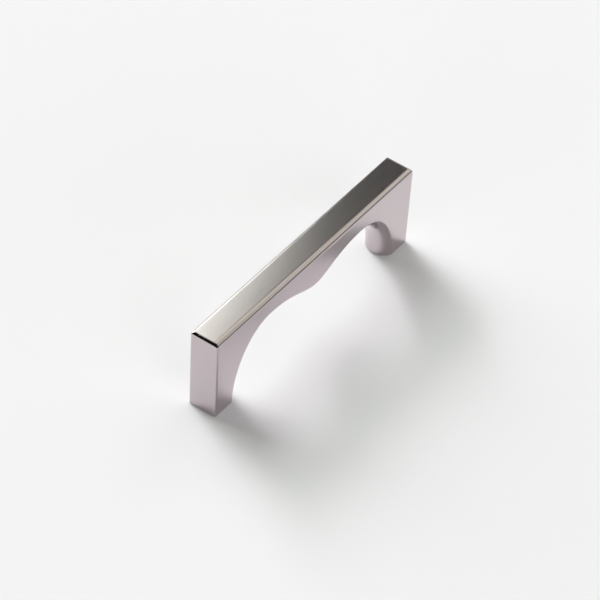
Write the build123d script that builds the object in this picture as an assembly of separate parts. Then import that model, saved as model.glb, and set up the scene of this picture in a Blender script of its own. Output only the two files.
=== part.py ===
"""Cabinet pull: one cast bar on two feet, with a waved finger gap and two threaded holes.

Millimetres. X runs along the bar, Y across it and Z away from the cabinet front.
The origin is on the mounting face, midway between the two screw holes.
"""
from build123d import *
from math import cos, radians, sin, tan
import os

# bar and feet
hole_spacing = 96.0        # between the screw centres
end_margin = 6.6           # from a screw centre to the end of the bar
height = 33.1              # from the mounting face to the top face
width = 11.1               # across the bar
draft_angle = 0.9          # how far the two ends lean in towards the feet
foot_depth = 12.8          # along X, from the end of the bar to the foot's rounded inner face

# waved underside, given along its lowest line
crest_spacing = 50.8       # between the tops of the two arches
crest_height = 22.9
bump_height = 17.1         # the dip between the arches, where the fingers rest
crest_ease = 12.9          # how long the wave stays level beside the top of an arch
bump_ease = 7.2            # how long it stays level beside the dip
crease_angle = 26.0        # between a long side and the rounded underside

# softened edges
top_edge_radius = 1.1
corner_radius = 0.8        # the four upright corners
crease_radius = 0.6        # where the long sides meet the underside
foot_edge_radius = 0.3     # round the mounting faces

# blind holes for M4 machine screws
tap_drill = 3.3
hole_depth = 14.0
drill_point_angle = 118.0
mouth_diameter = 4.5       # the small countersink that starts the screw
mouth_angle = 90.0

overrun = 2.0              # how far a cutting shape reaches past the metal

length = hole_spacing + 2 * end_margin
foot_inner = length / 2 - foot_depth
crest = crest_spacing / 2
grip_radius = width / 2 / cos(radians(crease_angle))


def blank():
    """The solid bar before the gap is cut: shorter at the feet, with softened edges."""
    bar = extrude(Rectangle(length, width), height)
    ends = bar.faces().filter_by(Axis.X)
    bar = draft(ends, neutral_plane=Plane.XY.offset(height), angle=-draft_angle)
    upright = bar.edges().filter_by(lambda edge: edge.bounding_box().size.Z > height / 2)
    bar = fillet(upright, corner_radius)
    return fillet(bar.faces().sort_by(Axis.Z)[-1].edges(), top_edge_radius)


def wave():
    """The lowest line of the underside, from below one foot to below the other."""
    leg = Line((foot_inner, -overrun), (foot_inner, 0))
    arch = EllipticalCenterArc((crest, 0), foot_inner - crest, crest_height, 0, arc_size=90)
    flank = Bezier(
        (crest, crest_height),
        (crest - crest_ease, crest_height),
        (bump_ease, bump_height),
        (0, bump_height),
    )
    half = Curve() + [leg, arch, flank]
    return Plane.XZ * (half + mirror(half, about=Plane.YZ))


def underside():
    """The rounded underside: an arc a little wider than the bar, drawn along the wave."""
    turn = radians(crease_angle / 2)
    reach = grip_radius * cos(turn)
    rise = grip_radius * (1 - sin(turn))
    arc = ThreePointArc((rise, -reach), (0, 0), (rise, reach))
    surface = sweep(Pos(foot_inner, 0, -overrun) * arc, path=wave().wire())
    return Shell(surface.faces())


def soften_creases(bar):
    """Round the curved edges where each long side meets the underside."""
    long_sides = bar.faces().filter_by(lambda face: abs(face.normal_at().Y) > 0.9)
    curved = [edge for side in long_sides for edge in side.edges() if edge.geom_type != GeomType.LINE]
    return fillet(curved, crease_radius)


def soften_feet(bar):
    """Round the outline of the two mounting faces."""
    mounting_faces = bar.faces().group_by(Axis.Z)[0]
    return fillet(mounting_faces.edges(), foot_edge_radius)


def screw_hole():
    """The space of one blind hole, with its mouth at Z = 0 and a drilled point above."""
    bore = tap_drill / 2
    mouth = mouth_diameter / 2
    flare = (mouth - bore) / tan(radians(mouth_angle / 2))
    point = bore / tan(radians(drill_point_angle / 2))
    outline = Polyline(
        (0, -overrun),
        (mouth, -overrun),
        (mouth, 0),
        (bore, flare),
        (bore, hole_depth),
        (0, hole_depth + point),
        close=True,
    )
    return revolve(Plane.XZ * make_face(outline), Axis.Z)


def pull():
    bar = split(blank(), bisect_by=underside(), keep=Keep.TOP)
    bar = soften_feet(soften_creases(bar))
    screws = GridLocations(hole_spacing, 0, 2, 1)
    return bar - [spot * screw_hole() for spot in screws]


os.makedirs("parts", exist_ok=True)
export_step(pull(), "parts/pull_body.step")
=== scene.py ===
from math import cos, pi, radians, sin, tan

import bmesh
import bpy
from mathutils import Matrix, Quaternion, Vector


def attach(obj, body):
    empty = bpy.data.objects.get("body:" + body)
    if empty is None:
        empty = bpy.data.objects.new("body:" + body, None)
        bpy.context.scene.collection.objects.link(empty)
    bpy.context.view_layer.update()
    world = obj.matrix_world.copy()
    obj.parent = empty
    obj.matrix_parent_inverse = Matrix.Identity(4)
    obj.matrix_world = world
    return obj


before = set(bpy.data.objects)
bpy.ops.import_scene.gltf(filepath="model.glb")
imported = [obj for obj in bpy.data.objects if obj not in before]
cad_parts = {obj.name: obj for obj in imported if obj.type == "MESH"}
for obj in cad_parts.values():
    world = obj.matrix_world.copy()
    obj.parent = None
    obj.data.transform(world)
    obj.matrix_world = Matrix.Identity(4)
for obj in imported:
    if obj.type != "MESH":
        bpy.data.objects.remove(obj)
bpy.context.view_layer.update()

# The photograph's view, from above one end. Metres and degrees, with azimuth counted from +X
# towards +Y; the sensor and the lens are in millimetres.
VIEW_AZIMUTH = -146.24
VIEW_ELEVATION = 44.47
VIEW_ROLL = 3.90
VIEW_DISTANCE = 1.2133
VIEW_AIM = Vector((-0.00281, -0.00136, 0.01230))
SENSOR = 36.0
LENS = 218.56
CLIP_START = 0.01
CLIP_END = 20.0

# Studio: a pale floor, a pale sweep that stands low all round, and a dim room above it. The
# sweep's top is an elevation in degrees, and it fades out over its edge to either side of that.
FLOOR_SIZE = 48.0
FLOOR_COLOUR = (0.912, 0.893, 0.915)
SWEEP_COLOUR = (0.913, 0.913, 0.913)
SWEEP_TOP = 3.0
SWEEP_EDGE = 1.5
ROOM_COLOUR = (0.010, 0.010, 0.009)

# Softboxes facing the pull, in degrees: width and height are the angles they fill as seen from
# it, and level is the brightness of the face, where 1 is white. One that isn't mirrored lights
# the floor, but no reflection of its face shows in the metal.
LAMP_DISTANCE = 12.0
WHITE = (1.0, 1.0, 1.0)
KEY_TINT = (1.0, 0.92, 1.03)
HALO_TINT = (0.91, 1.0, 0.91)
CARD_TINT = (1.0, 1.0, 0.88)
SOFTBOXES = {
    "key": dict(azimuth=71.2, elevation=30.2, width=8, height=26, level=22.3, roll=-45, tint=KEY_TINT),
    "halo": dict(azimuth=75.2, elevation=29.2, width=43, height=61, level=4.15, roll=22, tint=HALO_TINT),
    "card": dict(azimuth=-20, elevation=43, width=64, height=27, level=0.76, tint=CARD_TINT),
    "high": dict(azimuth=23, elevation=52.5, width=23, height=13, level=0.47, tint=CARD_TINT),
    "high_near": dict(azimuth=35, elevation=51.8, width=12, height=11, level=0.48, tint=CARD_TINT),
    "low_side": dict(azimuth=-20, elevation=15, width=54, height=20, level=0.55),
    "high_front": dict(azimuth=-78, elevation=62, width=40, height=26, level=0.50),
    "side": dict(azimuth=10, elevation=32, width=34, height=20, level=1.05),
    "end": dict(azimuth=185, elevation=14, width=30, height=14, level=4.5, mirrored=False),
    "low_front": dict(azimuth=260, elevation=14, width=70, height=14, level=2.8, mirrored=False),
    "front": dict(azimuth=250, elevation=32, width=34, height=20, level=2.0, mirrored=False),
}

# Satin nickel: fine brushing along the bar, and across it on the two ends. Streaks are given by
# how many pass in a metre, counted along them and across them.
NICKEL = (0.575, 0.510, 0.530)
NICKEL_SHADE = (0.555, 0.492, 0.510)
FINE_STREAKS = (110.0, 9000.0)
BROAD_STREAKS = (30.0, 1500.0)
BROAD_SHARE = 0.4
BRUSHING_DEPTH = 0.000006
BRUSHING_STRENGTH = 0.02
ROUGHNESS = (0.099, 0.111)
ROUGHNESS_SPAN = (0.35, 0.65)      # the brushing's heights that have these two roughnesses
CLOUDS = 90.0                      # soft patches in a metre
STREAK_SHARE = 0.5                 # how much of the shading follows the streaks, not the patches
SHADE_SPAN = (0.35, 0.60)          # the mixed values that have the darker and the lighter shade
NOISE_DETAIL = 2.0
CLOUD_DETAIL = 3.0
END_TURN = (0.6, 0.9)              # how far the surface faces along X as the brushing turns

# Buffing has rolled the flat faces off a little before the long edge on the -Y side: it starts
# and is full at these places across the bar, and leans the surface by this slope.
ROLL_START = -0.0029
ROLL_FULL = -0.0044
ROLL_SLOPE = 0.07

# Screw threads, in metres: the ridge left standing in each hole, and its bare cut metal
SCREW_POSITIONS = (-0.048, 0.048)
HOLE_RADIUS = 0.00165
THREAD_PITCH = 0.0007
THREAD_HEIGHT = 0.0002
THREAD_ROOT = 0.0002               # half the ridge's thickness at the wall
THREAD_CREST = 0.00008             # and at its crest
THREAD_SINK = 0.00002              # how deep it is let into the wall
THREAD_START = 0.0009
THREAD_END = 0.0125
THREAD_STEPS = 40                  # in a turn
THREAD_RUN_OUT = 0.4               # the turns over which it fades at each end
THREAD_METAL = (0.47, 0.48, 0.50)
THREAD_ROUGHNESS = (0.22, 0.42)
TOOL_MARKS = 6000.0                # in a metre


def direction(azimuth, elevation):
    """Unit vector towards a place on the sky, with azimuth counted from +X towards +Y."""
    a = radians(azimuth)
    e = radians(elevation)
    return Vector((cos(a) * cos(e), sin(a) * cos(e), sin(e)))


def new_object(name, data):
    thing = bpy.data.objects.new(name, data)
    bpy.context.scene.collection.objects.link(thing)
    return thing


def add_camera():
    camera = new_object("camera", bpy.data.cameras.new("camera"))
    back = direction(VIEW_AZIMUTH, VIEW_ELEVATION)
    level = (-back).to_track_quat("-Z", "Y")
    camera.location = VIEW_AIM + back * VIEW_DISTANCE
    camera.rotation_mode = "QUATERNION"
    camera.rotation_quaternion = level @ Quaternion((0, 0, 1), radians(VIEW_ROLL))
    camera.data.sensor_width = SENSOR
    camera.data.lens = LENS
    camera.data.clip_start = CLIP_START
    camera.data.clip_end = CLIP_END
    bpy.context.scene.camera = camera


def add_softbox(name, azimuth, elevation, width, height, level, roll=0, tint=WHITE, mirrored=True):
    """An area lamp that faces the pull and that the camera doesn't see."""
    data = bpy.data.lights.new(name, "AREA")
    data.shape = "RECTANGLE"
    data.size = 2 * LAMP_DISTANCE * tan(radians(width / 2))
    data.size_y = 2 * LAMP_DISTANCE * tan(radians(height / 2))
    data.color = tint
    data.energy = level * pi * data.size * data.size_y
    lamp = new_object(name, data)
    toward = direction(azimuth, elevation)
    lamp.location = toward * LAMP_DISTANCE
    lamp.rotation_mode = "QUATERNION"
    lamp.rotation_quaternion = toward.to_track_quat("Z", "Y") @ Quaternion((0, 0, 1), radians(roll))
    lamp.visible_camera = False
    lamp.visible_glossy = mirrored


def component(nodes, links, vector, axis):
    split = nodes.new("ShaderNodeSeparateXYZ")
    links.new(vector, split.inputs[0])
    return split.outputs[axis]


def map_range(nodes, links, value, source, target=(0.0, 1.0), smooth=False):
    """A value taken from one range to another, by an S-curve where smooth is set."""
    node = nodes.new("ShaderNodeMapRange")
    if smooth:
        node.interpolation_type = "SMOOTHSTEP"
    for limit, setting in zip(("From Min", "From Max", "To Min", "To Max"), source + target):
        node.inputs[limit].default_value = setting
    links.new(value, node.inputs["Value"])
    return node.outputs["Result"]


def background(nodes, colour):
    node = nodes.new("ShaderNodeBackground")
    node.inputs["Color"].default_value = (*colour, 1)
    return node.outputs[0]


def add_room():
    """The sweep and the room by elevation. The camera itself sees the sweep's colour everywhere."""
    world = bpy.data.worlds.new("room")
    bpy.context.scene.world = world
    world.use_nodes = True
    nodes = world.node_tree.nodes
    links = world.node_tree.links
    nodes.clear()
    place = nodes.new("ShaderNodeTexCoord").outputs["Generated"]
    rise = component(nodes, links, place, "Z")
    fade = (sin(radians(SWEEP_TOP - SWEEP_EDGE)), sin(radians(SWEEP_TOP + SWEEP_EDGE)))
    rays = nodes.new("ShaderNodeLightPath")
    room_share = nodes.new("ShaderNodeMath")
    room_share.operation = "SUBTRACT"
    room_share.use_clamp = True
    links.new(map_range(nodes, links, rise, fade, smooth=True), room_share.inputs[0])
    links.new(rays.outputs["Is Camera Ray"], room_share.inputs[1])
    mix = nodes.new("ShaderNodeMixShader")
    links.new(room_share.outputs[0], mix.inputs["Fac"])
    links.new(background(nodes, SWEEP_COLOUR), mix.inputs[1])
    links.new(background(nodes, ROOM_COLOUR), mix.inputs[2])
    output = nodes.new("ShaderNodeOutputWorld")
    links.new(mix.outputs[0], output.inputs["Surface"])


def new_material(name, shader_type):
    """A material that holds one shader, joined to its output."""
    material = bpy.data.materials.new(name)
    material.use_nodes = True
    nodes = material.node_tree.nodes
    links = material.node_tree.links
    nodes.clear()
    shader = nodes.new(shader_type)
    output = nodes.new("ShaderNodeOutputMaterial")
    links.new(shader.outputs[0], output.inputs["Surface"])
    return material, nodes, links, shader


def floor_material():
    material, _, _, shader = new_material("pale_floor", "ShaderNodeBsdfDiffuse")
    shader.inputs["Color"].default_value = (*FLOOR_COLOUR, 1)
    return material


def add_floor():
    mesh = bpy.data.meshes.new("floor")
    half = FLOOR_SIZE / 2
    corners = [(-half, -half, 0), (half, -half, 0), (half, half, 0), (-half, half, 0)]
    mesh.from_pydata(corners, [], [(0, 1, 2, 3)])
    floor = new_object("floor", mesh)
    floor.data.materials.append(floor_material())


def noise(nodes, links, place, rate, detail=NOISE_DETAIL):
    node = nodes.new("ShaderNodeTexNoise")
    node.inputs["Scale"].default_value = rate
    node.inputs["Detail"].default_value = detail
    links.new(place, node.inputs["Vector"])
    return node.outputs["Fac"]


def streaks(nodes, links, place, rates, axis):
    """Noise drawn out into streaks along one axis."""
    along, across = rates
    stretch = nodes.new("ShaderNodeMapping")
    stretch.inputs["Scale"].default_value = [along if name == axis else across for name in "XYZ"]
    links.new(place, stretch.inputs["Vector"])
    return noise(nodes, links, stretch.outputs["Vector"], 1.0)


def blend(nodes, links, share, first, second):
    """A value between two others: first where the share is 0 and second where it is 1."""
    mix = nodes.new("ShaderNodeMix")
    mix.data_type = "FLOAT"
    if isinstance(share, float):
        mix.inputs["Factor"].default_value = share
    else:
        links.new(share, mix.inputs["Factor"])
    links.new(first, mix.inputs["A"])
    links.new(second, mix.inputs["B"])
    return mix.outputs["Result"]


def on_ends(nodes, links):
    """1 on the two end faces and 0 on the long faces, changing over on the rounded edges."""
    surface = nodes.new("ShaderNodeNewGeometry")
    lean = nodes.new("ShaderNodeMath")
    lean.operation = "ABSOLUTE"
    links.new(component(nodes, links, surface.outputs["Normal"], "X"), lean.inputs[0])
    return map_range(nodes, links, lean.outputs[0], END_TURN, smooth=True)


def brushing(nodes, links, place):
    """The height of the brushed surface, 0 to 1, from fine and broad streaks."""
    ends = on_ends(nodes, links)
    grain = []
    for rates in (FINE_STREAKS, BROAD_STREAKS):
        lengthways = streaks(nodes, links, place, rates, "X")
        crossways = streaks(nodes, links, place, rates, "Y")
        grain.append(blend(nodes, links, ends, lengthways, crossways))
    return blend(nodes, links, BROAD_SHARE, *grain)


def roll_off(nodes, links, place):
    """The normal of faces that fall away gently towards the bar's long edge on the -Y side."""
    across = component(nodes, links, place, "Y")
    slopes = (-ROLL_SLOPE, 0.0)
    lean = nodes.new("ShaderNodeCombineXYZ")
    fall = map_range(nodes, links, across, (ROLL_FULL, ROLL_START), slopes, smooth=True)
    links.new(fall, lean.inputs["Y"])
    surface = nodes.new("ShaderNodeNewGeometry")
    leaning = nodes.new("ShaderNodeVectorMath")
    links.new(surface.outputs["Normal"], leaning.inputs[0])
    links.new(lean.outputs[0], leaning.inputs[1])
    normal = nodes.new("ShaderNodeVectorMath")
    normal.operation = "NORMALIZE"
    links.new(leaning.outputs[0], normal.inputs[0])
    return normal.outputs[0]


def nickel_shade(nodes, links, place, height):
    """The colour, in faint patches and streaks of two shades."""
    clouds = noise(nodes, links, place, CLOUDS, CLOUD_DETAIL)
    patch = blend(nodes, links, STREAK_SHARE, clouds, height)
    mix = nodes.new("ShaderNodeMix")
    mix.data_type = "RGBA"
    mix.inputs["A"].default_value = (*NICKEL_SHADE, 1)
    mix.inputs["B"].default_value = (*NICKEL, 1)
    links.new(map_range(nodes, links, patch, SHADE_SPAN), mix.inputs["Factor"])
    return mix.outputs["Result"]


def nickel_material():
    material, nodes, links, shader = new_material("satin_nickel", "ShaderNodeBsdfPrincipled")
    place = nodes.new("ShaderNodeTexCoord").outputs["Object"]
    height = brushing(nodes, links, place)
    gloss = map_range(nodes, links, height, ROUGHNESS_SPAN, ROUGHNESS)
    bump = nodes.new("ShaderNodeBump")
    bump.inputs["Strength"].default_value = BRUSHING_STRENGTH
    bump.inputs["Distance"].default_value = BRUSHING_DEPTH
    links.new(height, bump.inputs["Height"])
    links.new(roll_off(nodes, links, place), bump.inputs["Normal"])
    shader.inputs["Metallic"].default_value = 1.0
    links.new(nickel_shade(nodes, links, place, height), shader.inputs["Base Color"])
    links.new(gloss, shader.inputs["Roughness"])
    links.new(bump.outputs["Normal"], shader.inputs["Normal"])
    return material


def thread_material():
    """Cut metal, duller than the plating, with fine tool marks."""
    material, nodes, links, shader = new_material("cut_thread", "ShaderNodeBsdfPrincipled")
    place = nodes.new("ShaderNodeTexCoord").outputs["Object"]
    marks = noise(nodes, links, place, TOOL_MARKS)
    gloss = map_range(nodes, links, marks, (0.0, 1.0), THREAD_ROUGHNESS)
    shader.inputs["Metallic"].default_value = 1.0
    shader.inputs["Base Color"].default_value = (*THREAD_METAL, 1)
    links.new(gloss, shader.inputs["Roughness"])
    return material


def thread_section(share):
    """Radius and height of the ridge's four corners, where share is how far it stands out."""
    wall = HOLE_RADIUS + THREAD_SINK
    crest = HOLE_RADIUS - THREAD_HEIGHT * share
    return (wall, -THREAD_ROOT), (crest, -THREAD_CREST), (crest, THREAD_CREST), (wall, THREAD_ROOT)


def thread_mesh():
    """A closed right-hand ridge round the Z axis that fades out at both ends."""
    turns = (THREAD_END - THREAD_START) / THREAD_PITCH
    mesh = bmesh.new()
    rings = []
    for i in range(int(turns * THREAD_STEPS) + 1):
        turn = i / THREAD_STEPS
        angle = 2 * pi * turn
        rise = THREAD_START + THREAD_PITCH * turn
        share = min(1.0, turn / THREAD_RUN_OUT, (turns - turn) / THREAD_RUN_OUT)
        ring = []
        for radius, lift in thread_section(max(share, 0.0)):
            ring.append(mesh.verts.new((radius * cos(angle), radius * sin(angle), rise + lift)))
        rings.append(ring)
    for low, high in zip(rings, rings[1:]):
        for k in range(len(low)):
            following = (k + 1) % len(low)
            mesh.faces.new((low[k], high[k], high[following], low[following]))
    mesh.faces.new(rings[0])
    mesh.faces.new(rings[-1][::-1])
    bmesh.ops.recalc_face_normals(mesh, faces=mesh.faces)
    data = bpy.data.meshes.new("thread")
    mesh.to_mesh(data)
    mesh.free()
    return data


def add_threads():
    """The fine screw thread in both holes."""
    metal = thread_material()
    for name, x in zip(("thread_left", "thread_right"), SCREW_POSITIONS):
        thread = new_object(name, thread_mesh())
        thread.location.x = x
        thread.data.materials.append(metal)
        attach(thread, "root")


def dress_pull():
    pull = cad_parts["pull_body"]
    pull.material_slots[0].material = nickel_material()


add_camera()
add_floor()
add_room()
for name, box in SOFTBOXES.items():
    add_softbox(name, **box)
add_threads()
dress_pull()
bpy.context.scene.view_settings.view_transform = "Standard"
